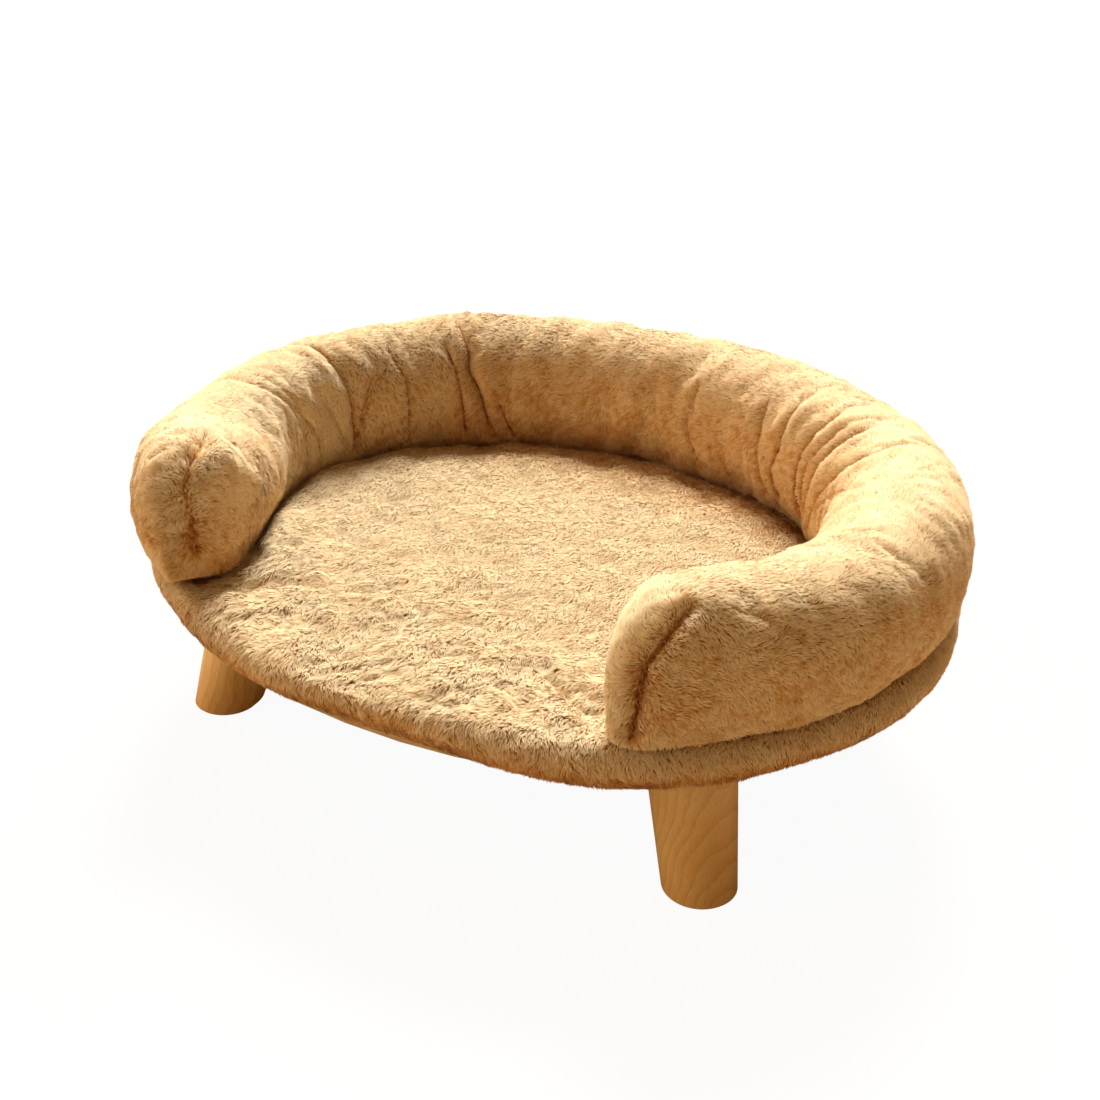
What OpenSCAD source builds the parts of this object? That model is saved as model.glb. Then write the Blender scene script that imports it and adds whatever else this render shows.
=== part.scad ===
// Oval sofa bed for a small dog or a cat: a plush seat on a plywood base, a horseshoe bolster
// sewn on round the back and sides, and four splayed wooden legs.
// Z is up and the floor is at Z = 0. The open front of the bed faces -Y, and X runs across it.

/* [Seat] */
// Width of the seat across its rim
seat_w = 686; // [600:1:800]
// Depth of the seat from front to back
seat_d = 546; // [500:1:620]
// Squareness of the seat's outline, where 2 is an ellipse
seat_round = 2.1; // [2:0.01:2.4]
// Height of the rim's underside above the floor
seat_z = 117; // [90:1:150]
// Height of the rim from its underside to its top edge
rim_h = 41; // [34:1:56]
// Height of the rim's widest line above its underside
rim_belly = 19; // [15:1:22]
// How far the rim's top rolls inwards from its widest line
rim_roll = 37; // [28:1:46]
// Rise of the seat's middle above the rim's top edge
seat_crown = 11; // [4:1:24]
// Depth that the bolster presses into the rim
sink = 6; // [3:0.5:9]
// Width of the rounded step where the seat swells up beside the bolster
shoulder_w = 22; // [14:1:36]

/* [Bolster] */
// Thickness of the bolster from its inner to its outer side
bolster_w = 111; // [96:1:124]
// Height of the bolster's round section before it is seated
bolster_h = 127; // [114:1:140]
// Squareness of the bolster's section, where 2 is an ellipse
bolster_round = 2.25; // [2:0.01:2.6]
// Distance of the bolster's middle line inside the seat's edge at the sides
run_in_x = 56; // [50:1:72]
// The same for the front and back of the oval that the horseshoe is cut from
run_in_y = 33; // [26:1:46]
// How far the horseshoe's oval lies in front of the seat's middle
run_forward = 7; // [0:1:14]
// Distance of the arms' tips inside the seat's front edge
arm_in_y = 76; // [66:1:96]
// Length over which the top of each arm rounds down to its tip
arm_dome = 52; // [40:1:64]
// Length over which each arm narrows to its tip, on its inner side
arm_taper = 118; // [90:1:140]
// Outward lean of the bolster, as a share of its height
lean_share = 0.056; // [0:0.002:0.1]
// Depth of the folds in the bolster's plush
fold_depth = 5; // [1:0.5:6]
// Half width of a fold
fold_spread = 13; // [9:1:20]

/* [Cloth and filling] */
// Thickness of the plush with its pile
plush_t = 9; // [7:0.5:11]
// Thickness of the plush pulled flat under the board
hem_t = 2.5; // [1.5:0.1:3.5]
// Width of the hem from the rim's underside to its raw edge
hem_w = 27; // [20:1:40]
// Thickness of the wadding over the foam
wadding_t = 5; // [3:0.5:6]
// Thickness of the underlining cloth
lining_t = 0.8; // [0.5:0.1:1.5]
// Width of plush that the underlining leaves bare at the hem
lining_inset = 12; // [8:1:16]
// Thickness of the cloth that closes the bolster from below
panel_t = 1; // [0.6:0.1:2]

/* [Board] */
// Thickness of the plywood board
board_t = 9; // [9:1:12]
// Distance of the board's edge inside the rim's widest line
board_inset = 16; // [13:0.5:22]

/* [Legs] */
// Distance of the middle of each foot inside the seat's edge at the sides
foot_in_x = 113; // [95:1:140]
// Distance of the middle of each foot inside the seat's front and back edges
foot_in_y = 127; // [118:1:150]
// How far each leg's top lies nearer the middle than its foot, across the bed
splay_x = 27; // [0:1:35]
// How far each leg's top lies nearer the middle than its foot, along the bed
splay_y = 24; // [0:1:32]
// Diameter of a leg at its foot
foot_d = 55; // [46:0.5:62]
// Diameter of a leg at its top
leg_top_d = 70; // [60:0.5:78]
// Size of the eased edge round each foot
foot_ease = 1.2; // [0.5:0.1:3]
// Diameter of the felt glide let into each foot
glide_d = 36; // [28:1:42]
// Thickness of the felt glide
glide_t = 3; // [2:0.5:5]
// How far the felt stands out of the foot
glide_proud = 1; // [0.5:0.1:1.5]

/* [Fasteners] */
// Outer diameter of the hanger bolts
bolt_d = 7.8; // [5.8:0.1:9.8]
// Length of each hanger bolt inside its leg
bolt_in_leg = 36; // [25:1:50]
// Length of the hanger bolt's pointed end
bolt_point = 7; // [4:1:10]
// Diameter of the tee nut's flange
nut_flange_d = 22; // [18:0.5:26]
// Thickness of the tee nut's flange
nut_flange_t = 1.5; // [1:0.1:2]
// Wall of the tee nut's barrel
nut_wall = 1.2; // [0.8:0.1:2]
// Length of the tee nut's barrel below its flange
nut_barrel = 6.5; // [5:0.5:7]
// Number of prongs on a tee nut
nut_prongs = 4; // [3:1:6]
// Length of a tee nut's prongs
prong_l = 5; // [3:0.5:6]
// Width of a prong at its root
prong_w = 3; // [2:0.1:4]
// Thickness of a prong
prong_t = 1.2; // [0.8:0.1:1.5]
// Number of staples round the underlining
staple_count = 36; // [24:2:48]
// Length of a staple's crown
staple_w = 12; // [9:0.5:14]
// Thickness of the staple wire
staple_wire = 0.9; // [0.6:0.1:1.3]
// Length of a staple's legs above the underlining
staple_l = 8; // [6:0.5:9]

/* [Clearances] */
// Clearance between two layers of cloth or filling
skin_gap = 0.3; // [0.2:0.05:0.5]
// Clearance round a bolt, a nut's barrel or a glide in its hole
hole_gap = 0.2; // [0.1:0.05:0.4]

/* [Hidden] */
$fn = 64;
// Name of each corner and the side of the bed that it is on, across and along
CORNERS = [["front_left", -1, -1], ["front_right", 1, -1], ["back_left", -1, 1], ["back_right", 1, 1]];
LEG_PIECES = ["leg", "hanger_bolt", "tee_nut", "foot_glide"];

// How far a cut runs past the face that it opens
overrun = 1;
// Angle either side of a place over which a direction is measured
look = 0.5;
// Corners of the seat's outline, and of its inner layers
seat_sides = 48;
inner_sides = 24;
// Angles round the rim from its widest line to its top edge
rim_turns = [0, 30, 60, 90];
// Rings between the bolster and the seat's middle, as shares of the shoulder's width
nest_shares = [0, 0.4, 1, 2.4, 5.5];
// Where the rim's round underside turns into its flat: how far in, as a share of the roll, and the
// point half way round to it, as shares of the roll and of the belly's height
flat_share = 0.5;
turn_share = 0.14;
turn_rise_share = 0.25;
// Angle over which the arms' press on the seat fades in the open front
arm_fade = 9;
// Turn of a leg about its own line, which keeps the cone's seam clear of the eased edge's
seam_turn = 90;
// Corners of the bolster's outer section on its curve and on its foot, and its cuts along the run
cover_corners = [11, 3];
cover_cuts = 50;
// The same for the layers inside
inner_corners = [8, 2];
inner_cuts = 18;

rim_mid_z = seat_z + rim_belly;
rim_top_z = seat_z + rim_h;
rest_z = rim_top_z - sink;
board_z = seat_z + hem_t;
board_top_z = board_z + board_t;
leg_top_z = board_z - skin_gap - lining_t;
// Half width and half depth of the oval that the bolster's middle line runs on
run_a = seat_w / 2 - run_in_x;
run_b = seat_d / 2 - run_in_y;
// Distance from the seat's middle to the front tips of the arms
arm_reach = seat_d / 2 - arm_in_y;
// Share of the section's half height that is left below its middle once it is seated
seated_share = 0.7;
seated_drop = seated_share * bolster_h / 2;
bolster_z = rest_z + skin_gap;
bolster_mid_z = bolster_z + seated_drop;
back_y = run_b - run_forward + bolster_w / 2;
middle_y = (back_y - seat_d / 2) / 2;
flat_inset = flat_share * rim_roll;
hem_inset = flat_inset + hem_w;
nut_bore_d = bolt_d + 2 * hole_gap;
nut_barrel_d = nut_bore_d + 2 * nut_wall;
// Middle of each foot and of each leg's top, across and along the bed
foot_x = seat_w / 2 - foot_in_x;
foot_y = seat_d / 2 - foot_in_y;
top_x = foot_x - splay_x;
top_y = foot_y - splay_y;
// Angle of the right arm's tip on the run's oval, and of the place where its taper starts
tip_t = -asin((arm_reach - run_forward) / run_b);
taper_t = tip_t + arm_taper / (norm([run_a * sin(tip_t), run_b * cos(tip_t)]) * PI / 180);
// Angle from the front of the bed at which the arms press fully, half a corner short of their tips
arm_full = 90 + tip_t - 180 / seat_sides;

function clamp01(v) = max(0, min(1, v));
function ease(v) = let (c = clamp01(v)) c * c * (3 - 2 * c);
function curve(v, n) = sign(v) * pow(abs(v), 2 / n);
function oval(a, b, n, t) = [a * curve(cos(t), n), b * curve(sin(t), n)];
function unit(v) = v / norm(v);

// The seat

function rim_place(inset, t) = oval(seat_w / 2 - inset, seat_d / 2 - inset, seat_round, t);
function nest_place(inward, t) = oval(run_a - inward, run_b - inward, 2, t) - [0, run_forward];
function front_angle(t) = abs(((t - 270 + 540) % 360) - 180);
// 1 under the bolster and 0 in the open front
function pressed(t) = ease(1 + (front_angle(t) - arm_full) / arm_fade);
// Height of the seat's swelling top at a place
function crown_z(p) =
    let (a = seat_w / 2 - rim_roll, b = seat_d / 2 - rim_roll)
    rim_top_z + seat_crown * max(0, 1 - pow(p.x / a, 2) - pow(p.y / b, 2));
// Half width of the flat that the bolster rests on, and how far in from the run the seat swells up
foot_half = bolster_w / 2 * pow(1 - pow(seated_share, bolster_round), 1 / bolster_round);
nest_inset = foot_half + lean_share * seated_drop + skin_gap;

function rim_ring(turn, skin, t) =
    let (
        p = rim_place(rim_roll * (1 - cos(turn)) + skin * cos(turn), t),
        high = rim_mid_z + (rim_top_z - rim_mid_z) * sin(turn) - skin * sin(turn),
        low = min(high, rest_z - skin)
    )
    [p.x, p.y, high + (low - high) * pressed(t)];
function nest_ring(share, skin, t) =
    let (
        p = nest_place(nest_inset + share * shoulder_w, t),
        high = crown_z(p),
        low = rest_z + (high - rest_z) * sin(90 * clamp01(share))
    )
    [p.x, p.y, high + (low - high) * pressed(t) - skin];
function flat_ring(inset, z, t) = let (p = rim_place(inset, t)) [p.x, p.y, z];
function around(sides) = [for (i = [0 : sides - 1]) 360 * i / sides];

// Rings of the seat's top, from its widest line to its middle
function top_rings(skin, sides) = concat(
    [for (turn = rim_turns) [for (t = around(sides)) rim_ring(turn, skin, t)]],
    [for (s = nest_shares) [for (t = around(sides)) nest_ring(s, skin, t)]]
);
function middle_point(skin) = [0, -run_forward, crown_z([0, -run_forward]) - skin];
function flat_rings(rows, sides) = [for (r = rows) [for (t = around(sides)) flat_ring(r[0], r[1], t)]];
function backwards(list) = [for (i = [len(list) - 1 : -1 : 0]) list[i]];

// A closed skin over rings of points, each with the same number of corners, from one pole to another.
// The rings run anticlockwise seen from the end pole.
module skin_over(start, rings, end) {
    sides = len(rings[0]);
    count = len(rings);
    points = concat([start], [for (r = rings, p = r) p], [end]);
    last = 1 + count * sides;
    at = function(r, i) 1 + r * sides + i % sides;
    polyhedron(points, concat(
        [for (i = [0 : sides - 1]) [0, at(0, i), at(0, i + 1)]],
        [for (r = [0 : count - 2], i = [0 : sides - 1]) [at(r, i), at(r + 1, i), at(r + 1, i + 1)]],
        [for (r = [0 : count - 2], i = [0 : sides - 1]) [at(r, i), at(r + 1, i + 1), at(r, i + 1)]],
        [for (i = [0 : sides - 1]) [last, at(count - 1, i + 1), at(count - 1, i)]]
    ));
}

module placed() translate([0, -middle_y, 0]) children();

// The plush over the seat: its pile side outside, rolled under the board to its raw hem
module seat_cover() {
    inside = backwards(top_rings(plush_t, seat_sides));
    under = flat_rings([
        [board_inset - skin_gap, board_top_z],
        [board_inset - skin_gap, board_z],
        [hem_inset, board_z],
        [hem_inset, seat_z],
        [flat_inset, seat_z],
        [turn_share * rim_roll, seat_z + turn_rise_share * rim_belly]
    ], seat_sides);
    color("burlywood") placed()
        skin_over(middle_point(plush_t), concat(inside, under, top_rings(0, seat_sides)), middle_point(0));
}

// Fibre wadding between the foam and the plush
module seat_wadding() {
    outer = plush_t + skin_gap;
    inner = outer + wadding_t;
    edge = [board_inset, board_top_z + skin_gap];
    lap = [board_inset + wadding_t, board_top_z + skin_gap];
    color("ivory") placed()
        skin_over(
            middle_point(inner),
            concat(
                backwards(top_rings(inner, inner_sides)),
                flat_rings([lap, edge], inner_sides),
                top_rings(outer, inner_sides)
            ),
            middle_point(outer)
        );
}

// Foam slab, pressed thinner where the bolster bears on it
module seat_foam() {
    skin = plush_t + wadding_t + 2 * skin_gap;
    color("lightyellow") placed()
        skin_over(
            [0, -run_forward, board_top_z],
            concat(
                flat_rings([[board_inset + wadding_t + skin_gap, board_top_z]], inner_sides),
                top_rings(skin, inner_sides)
            ),
            middle_point(skin)
        );
}

module board_outline() polygon([for (t = around(seat_sides)) rim_place(board_inset, t)]);

module at_leg_top(c) translate([c[1] * top_x, c[2] * top_y, 0]) children();

// The plywood board, with a stepped hole and prong slots for each tee nut
module base_board() {
    color("tan") placed() difference() {
        translate([0, 0, board_z]) linear_extrude(board_t) board_outline();
        for (c = CORNERS) at_leg_top(c) {
            translate([0, 0, board_z - overrun])
                cylinder(h = board_t + 2 * overrun, d = nut_barrel_d + 2 * hole_gap);
            translate([0, 0, board_top_z - nut_flange_t - hole_gap])
                cylinder(h = nut_flange_t + hole_gap + overrun, d = nut_flange_d + 2 * hole_gap);
            prongs(hole_gap);
        }
    }
}

// The prongs of one tee nut, grown all round for the slots that they press into the board
module prongs(grow) {
    root_z = board_top_z - nut_flange_t;
    for (i = [0 : nut_prongs - 1]) rotate(360 * (i + 0.5) / nut_prongs)
        translate([(nut_barrel_d + nut_flange_d) / 4, 0, root_z])
            rotate([90, 0, 90])
                translate([0, 0, -prong_t / 2 - grow])
                    linear_extrude(prong_t + 2 * grow)
                        polygon([
                            [-prong_w / 2 - grow, 0],
                            [0, -prong_l - grow],
                            [prong_w / 2 + grow, 0]
                        ]);
}

// A pronged tee nut, hammered flush into the top of the board
module tee_nut(c) {
    flange_z = board_top_z - nut_flange_t;
    color("silver") placed() at_leg_top(c) difference() {
        union() {
            translate([0, 0, flange_z]) cylinder(h = nut_flange_t, d = nut_flange_d);
            translate([0, 0, flange_z - nut_barrel])
                cylinder(h = nut_barrel + nut_flange_t, d = nut_barrel_d);
            prongs(0);
        }
        translate([0, 0, flange_z - nut_barrel - overrun])
            cylinder(h = nut_barrel + nut_flange_t + 2 * overrun, d = nut_bore_d);
    }
}

// A hanger bolt: pointed wood-screw end down in the leg, machine-threaded end up in the nut
module hanger_bolt(c) {
    bottom_z = leg_top_z - bolt_in_leg;
    r = bolt_d / 2;
    color("silver") placed() at_leg_top(c) rotate_extrude() polygon([
        [0, bottom_z],
        [r, bottom_z + bolt_point],
        [r, board_top_z - nut_flange_t],
        [r - hole_gap, board_top_z - hole_gap],
        [0, board_top_z - hole_gap]
    ]);
}

// Underlining cloth: flat against the board, and over the plush's raw hem
module base_lining() {
    edge = flat_inset + lining_inset;
    step_out = hem_inset + skin_gap;
    step_in = step_out + 2 * hem_t;
    low = seat_z - skin_gap;
    high = board_z - skin_gap;
    top = [[step_in, high], [step_out, low], [edge, low]];
    color([0.16, 0.16, 0.17]) placed() difference() {
        skin_over(
            [0, 0, high - lining_t],
            flat_rings(concat([for (r = top) [r[0], r[1] - lining_t]], backwards(top)), seat_sides),
            [0, 0, high]
        );
        for (c = CORNERS) at_leg_top(c) translate([0, 0, high - lining_t - overrun])
            cylinder(h = lining_t + 2 * overrun, d = bolt_d + 2 * hole_gap);
    }
}

// Staples through the underlining and the hem into the board
module staples() {
    inset = flat_inset + (lining_inset + hem_w) / 2;
    low = seat_z - skin_gap - lining_t - staple_wire;
    color("silver") placed() for (i = [0 : staple_count - 1]) {
        t = 360 * (i + 0.5) / staple_count;
        p = rim_place(inset, t);
        along = rim_place(inset, t + look) - rim_place(inset, t - look);
        translate([p.x, p.y, low]) rotate(atan2(along.y, along.x)) translate([0, -staple_wire / 2, 0]) {
            translate([-staple_w / 2, 0, 0]) cube([staple_w, staple_wire, staple_wire]);
            for (x = [-staple_w / 2, staple_w / 2 - staple_wire]) translate([x, 0, 0])
                cube([staple_wire, staple_wire, staple_wire + staple_l]);
        }
    }
}

// The bolster

function run_place(t) = oval(run_a, run_b, 2, t) - [0, run_forward];
function run_along(t) = run_place(t + look) - run_place(t - look);
function run_out(t) = let (v = unit(run_along(t))) [v.y, -v.x];
// Length of the run for each degree at a place
function run_speed(t) = norm(run_along(t)) / (2 * look);

// Fullness of an arm's end seen from the side and from above
dome_round = 2.3;
taper_round = 2.6;
// How far outside the run an arm's tip lies, as a share of the section's half width
tip_out_share = 0.68;
// How much less the end rounds up from the seat than down from its top
foot_power = 0.25;

// The bolster's section, out from the run and up from its middle, with its flat foot last. The
// corners on the foot only split it.
foot_turn = 270;
function section(w, h, drop, corners) =
    let (
        low = asin(pow(drop / (h / 2), bolster_round / 2)),
        turns = [for (i = [0 : corners[0]]) -low + (180 + 2 * low) * i / corners[0]],
        half = [w, h] / 2,
        curved = [for (a = turns)
            [half.x * curve(cos(a), bolster_round), half.y * curve(sin(a), bolster_round), a]],
        first = curved[0],
        last = curved[corners[0]],
        foot = [for (i = [1 : corners[1] - 1]) last + (first - last) * i / corners[1]]
    )
    concat(curved, [for (f = foot) [f.x, f.y, foot_turn]]);

// Folds of the plush that the horseshoe's bend gathers: place along the run and turn round the
// section where each starts, then where it ends, all in degrees
fold_turns = [
    [136, 78, 130, 210],
    [137, 150, 135, 210],
    [126, 178, 123, 210],
    [152, 165, 152, 210],
    [171, 112, 168, 210],
    [192, 82, 185, 210],
    [57, 96, 53, 205],
    [48, 98, 44, 205],
    [38, 125, 35, 205],
    [31, 84, 27, 205]
];
// Depth of each fold as a share of the deepest
fold_shares = [1, 0.7, 0.6, 0.6, 1, 0.9, 0.8, 0.9, 0.8, 0.6];
// How fast a fold fades out past its two ends
fold_fade = 14;
function fold_at(f, t, turn) =
    let (
        u = clamp01((turn - f[1]) / (f[3] - f[1])),
        off = (t - f[0] - (f[2] - f[0]) * u) * run_speed(t) / fold_spread,
        past = max(f[1] - turn, turn - f[3], 0) / fold_fade
    )
    exp(-off * off - past * past);
function folds(t, turn) =
    let (depths = [for (i = [0 : len(fold_turns) - 1]) fold_shares[i] * fold_at(fold_turns[i], t, turn)])
    fold_depth * max(depths);

// The sewn end of an arm: an upright seam that runs down to its tip and fades on its top. It lies
// nearer the tip below than above.
seam_low_share = 0.25;
seam_high_share = 1.15;
seam_turns = [-42, 76];
function seam(from_tip, turn) =
    let (
        u = clamp01((turn - seam_turns[0]) / (seam_turns[1] - seam_turns[0])),
        at = arm_dome * (seam_low_share + (seam_high_share - seam_low_share) * u * u),
        off = 2 * (from_tip - at) / fold_spread,
        past = max(seam_turns[0] - turn, turn - seam_turns[1], 0) / fold_fade
    )
    fold_depth * exp(-off * off - past * past);

// Size of an arm's end at a distance from its tip, as a share of the full one, over a rounded length
function end_share(from_tip, length, round) = pow(1 - pow(clamp01(1 - from_tip / length), round), 1 / round);
// How far the section's middle lies outside the run where its width is a share of the full one
function tip_out(skin, wide) = tip_out_share * (1 - wide) * (bolster_w / 2 - skin);

// One point of a layer's skin: a place with its width, as a share of the full one, and a section corner
function skin_point(skin, t, wide, from_tip, c, folded) =
    let (
        tall = end_share(from_tip - skin, arm_dome - skin, dome_round),
        dent = folded && c[2] < foot_turn ? max(folds(t, c[2]), seam(from_tip, c[2])) * wide : 0,
        flat = [c.x * wide, c.y * (c.y > 0 ? tall : pow(tall, foot_power))],
        s = flat - unit(flat) * dent,
        p = run_place(t) + run_out(t) * (s.x + tip_out(skin, wide) + lean_share * s.y)
    )
    [p.x, p.y, bolster_mid_z + s.y];

// Places of a layer from the right arm's tip round to the left one's: angle on the run, width as a
// share of the full one, and distance from the nearer tip
taper_turns = [10, 22, 36, 50, 66, 78];
function layer_places(skin, count) =
    let (
        ends = [for (a = taper_turns)
            [skin + (arm_taper - skin) * (1 - curve(cos(a), taper_round)), curve(sin(a), taper_round)]],
        right = [for (e = ends) [tip_t + e[0] / run_speed(tip_t), e[1], e[0]]],
        left = [for (e = backwards(right)) [180 - e[0], e[1], e[2]]],
        span = 180 - 2 * taper_t,
        body = [for (i = [0 : count]) let (u = i / count)
            [taper_t + span * u, 1, arm_taper + run_speed(tip_t) * span * min(u, 1 - u)]]
    )
    concat(right, body, left);
function layer_rings(skin, corners, count, folded) =
    [for (r = layer_places(skin, count)) [for (c = corners) skin_point(skin, r[0], r[1], r[2], c, folded)]];
function tip_point(skin, side) =
    let (
        right_t = tip_t + skin / run_speed(tip_t),
        t = side > 0 ? right_t : 180 - right_t,
        p = run_place(t) + run_out(t) * tip_out(skin, 0)
    )
    [p.x, p.y, bolster_mid_z];

module bolster_layer(skin, drop, corners, cuts, folded) {
    ring = section(bolster_w - 2 * skin, bolster_h - 2 * skin, drop, corners);
    rings = [for (r = layer_rings(skin, ring, cuts, folded)) backwards(r)];
    skin_over(tip_point(skin, 1), rings, tip_point(skin, -1));
}

// The bolster's plush, gathered shut at both ends and open below, where it is sewn to the seat
module bolster_cover() {
    color("burlywood") placed() difference() {
        bolster_layer(0, seated_drop, cover_corners, cover_cuts, true);
        bolster_layer(plush_t, seated_drop + overrun, inner_corners, inner_cuts, false);
    }
}

// Loose fibre filling, sewn in above the base panel
module bolster_filling() {
    drop = seated_drop - panel_t - skin_gap;
    color("ivory") placed() bolster_layer(plush_t + skin_gap, drop, inner_corners, inner_cuts, false);
}

// Cloth panel that closes the plush tube from below, as far as the arms' rounded ends
module bolster_base_panel() {
    skin = plush_t + skin_gap;
    half = [bolster_w / 2 - skin, bolster_h / 2 - skin];
    edge = half.x * pow(1 - pow(seated_drop / half.y, bolster_round), 1 / bolster_round) - skin_gap;
    places = [for (r = layer_places(skin, inner_cuts)) if (r[2] > arm_dome) r];
    middle = function(r) tip_out(skin, r[1]) - lean_share * seated_drop;
    color("ivory") placed() translate([0, 0, bolster_z]) linear_extrude(panel_t) polygon(concat(
        [for (r = places) run_place(r[0]) + run_out(r[0]) * (middle(r) + edge * r[1])],
        [for (r = backwards(places)) run_place(r[0]) + run_out(r[0]) * (middle(r) - edge * r[1])]
    ));
}

// The legs

// A turned leg, leaning out to its foot and cut level at both ends, with a bolt hole in its top and
// a recess for the felt in its foot
module leg(c) {
    lean = [-c[1] * splay_x, -c[2] * splay_y];
    length = norm([lean.x, lean.y, leg_top_z]);
    past = leg_top_d / 2;
    widen = (leg_top_d - foot_d) / 2 / length * past;
    rise = leg_top_z - glide_proud;
    eased_r = foot_d / 2 - foot_ease;
    color("peru") placed() difference() {
        at_foot(c) intersection() {
            rotate([0, atan2(norm(lean), leg_top_z), atan2(lean.y, lean.x)])
                rotate(seam_turn) translate([0, 0, -past])
                    cylinder(h = length + 2 * past, r1 = foot_d / 2 - widen, r2 = leg_top_d / 2 + widen);
            translate([0, 0, glide_proud]) cylinder(h = rise, r1 = eased_r, r2 = eased_r + rise);
        }
        at_leg_top(c) translate([0, 0, leg_top_z - bolt_in_leg - hole_gap])
            cylinder(h = bolt_in_leg + hole_gap + overrun, d = bolt_d + 2 * hole_gap);
        at_foot(c) cylinder(h = glide_t + hole_gap, d = glide_d + 2 * hole_gap);
    }
}

module at_foot(c) translate([c[1] * foot_x, c[2] * foot_y, 0]) children();

// Felt disc that the leg stands on
module foot_glide(c) {
    color("dimgray") placed() at_foot(c) cylinder(h = glide_t, d = glide_d);
}

base_board();
seat_foam();
seat_wadding();
seat_cover();
base_lining();
staples();
bolster_cover();
bolster_base_panel();
bolster_filling();
for (c = CORNERS) {
    leg(c);
    hanger_bolt(c);
    tee_nut(c);
    foot_glide(c);
}
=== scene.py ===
"""Looks of the oval sofa bed for a small dog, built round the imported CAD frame.

Sizes are millimetres in the CAD model's own frame, and become metres where a mesh is made. The plush is a
hide, modelled from the same outlines as the CAD solids, with its pile as real tufts that grow out of it.
"""

import math

import bpy
import numpy as np
from mathutils import Matrix

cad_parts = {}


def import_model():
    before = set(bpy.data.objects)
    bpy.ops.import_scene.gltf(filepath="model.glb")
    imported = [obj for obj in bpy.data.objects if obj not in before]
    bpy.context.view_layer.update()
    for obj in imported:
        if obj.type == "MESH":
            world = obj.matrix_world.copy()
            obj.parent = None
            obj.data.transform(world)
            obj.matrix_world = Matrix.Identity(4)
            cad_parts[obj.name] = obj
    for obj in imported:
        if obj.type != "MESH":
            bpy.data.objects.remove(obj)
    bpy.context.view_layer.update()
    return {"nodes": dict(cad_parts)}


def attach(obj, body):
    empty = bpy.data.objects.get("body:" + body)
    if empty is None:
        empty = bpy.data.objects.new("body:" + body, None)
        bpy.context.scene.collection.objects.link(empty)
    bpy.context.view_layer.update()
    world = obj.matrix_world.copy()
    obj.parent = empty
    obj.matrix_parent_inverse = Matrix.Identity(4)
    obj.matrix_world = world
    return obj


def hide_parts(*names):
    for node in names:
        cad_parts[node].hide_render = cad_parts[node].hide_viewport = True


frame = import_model()
MM = 0.001

# Sizes of the bed, as in the CAD model. A ROUND is the power of a superellipse
SEAT_W = 686
SEAT_D = 546
SEAT_ROUND = 2.1
SEAT_Z = 117
SEAT_CROWN = 11
RIM_H = 41
RIM_BELLY = 19
RIM_ROLL = 37
HEM_W = 27
HEM_T = 2.5
# How deep the bolster sinks into the seat, and how wide the seat's rise out of that trough is
SINK = 6
SHOULDER_W = 22
GAP = 0.3
BOLSTER_W = 111
BOLSTER_H = 127
BOLSTER_ROUND = 2.25
SEATED_SHARE = 0.7
LEAN_SHARE = 0.056
# The oval that the bolster's middle runs along
RUN_W = 574
RUN_D = 480
RUN_FORWARD = 7
# The arms: how far they reach forward, and how their tops come down and their sides draw in at the tips
ARM_REACH = 197
ARM_DOME = 52
DOME_ROUND = 2.3
FOOT_POWER = 0.25
ARM_TAPER = 118
TAPER_ROUND = 2.6
TIP_OUT_SHARE = 0.68

RIM_MID_Z = SEAT_Z + RIM_BELLY
RIM_TOP_Z = SEAT_Z + RIM_H
REST_Z = RIM_TOP_Z - SINK
RUN_A = RUN_W / 2
RUN_B = RUN_D / 2
FLAT_INSET = RIM_ROLL / 2
SEATED_DROP = SEATED_SHARE * BOLSTER_H / 2
BOLSTER_MID_Z = REST_Z + GAP + SEATED_DROP
MIDDLE_Y = (RUN_B - RUN_FORWARD + BOLSTER_W / 2 - SEAT_D / 2) / 2
FOOT_HALF = BOLSTER_W / 2 * (1 - SEATED_SHARE**BOLSTER_ROUND) ** (1 / BOLSTER_ROUND)
NEST_INSET = FOOT_HALF + LEAN_SHARE * SEATED_DROP + GAP


def clamp01(v):
    return np.clip(v, 0, 1)


def ease(v):
    v = clamp01(v)
    return v * v * (3 - 2 * v)


def past(v, start, softness):
    return ease((v - start) / softness)


def before(v, end, softness):
    return ease((end - v) / softness)


def curve(v, n):
    return np.sign(v) * np.abs(v) ** (2 / n)


def cos_sin(t):
    a = np.radians(t)
    return np.cos(a), np.sin(a)


def unit(v):
    return v / np.maximum(np.linalg.norm(v, axis=-1, keepdims=True), 1e-9)


def even_out(table, at, step=2.0):
    """A table's value at a place, evened out over its neighbours."""
    x, y = np.array(table, float).T
    steps = (-2, -1, 0, 1, 2)
    return sum(np.interp(at + n * step, x, y) for n in steps) / len(steps)


def grid_normals(points):
    """Normals of a grid whose second axis runs anticlockwise round and whose first axis climbs."""
    du = np.roll(points, -1, 1) - np.roll(points, 1, 1)
    dv = np.gradient(points, axis=0)
    return unit(np.cross(du, dv))


class Waves:
    """Smooth noise of about unit size: a sum of sine waves with one rough wavelength in millimetres."""

    SPREAD = (0.7, 1.4)

    def __init__(self, seed, wavelength, count=14):
        rng = np.random.default_rng(seed)
        self.k = unit(rng.normal(size=(count, 3))) * 2 * np.pi / wavelength
        self.k *= rng.uniform(*self.SPREAD, size=(count, 1))
        self.phase = rng.uniform(0, 2 * np.pi, size=count)
        self.scale = math.sqrt(2 / count)

    def __call__(self, p):
        return np.sin(p @ self.k.T + self.phase).sum(-1) * self.scale


# The bolster's form: its run is an oval, and a place on it is an angle t in degrees. A turn is the angle
# round the section, from the outer side over the top to the inner side


def run_place(t):
    c, s = cos_sin(t)
    return np.stack([RUN_A * c, RUN_B * s - RUN_FORWARD - MIDDLE_Y], -1)


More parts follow.
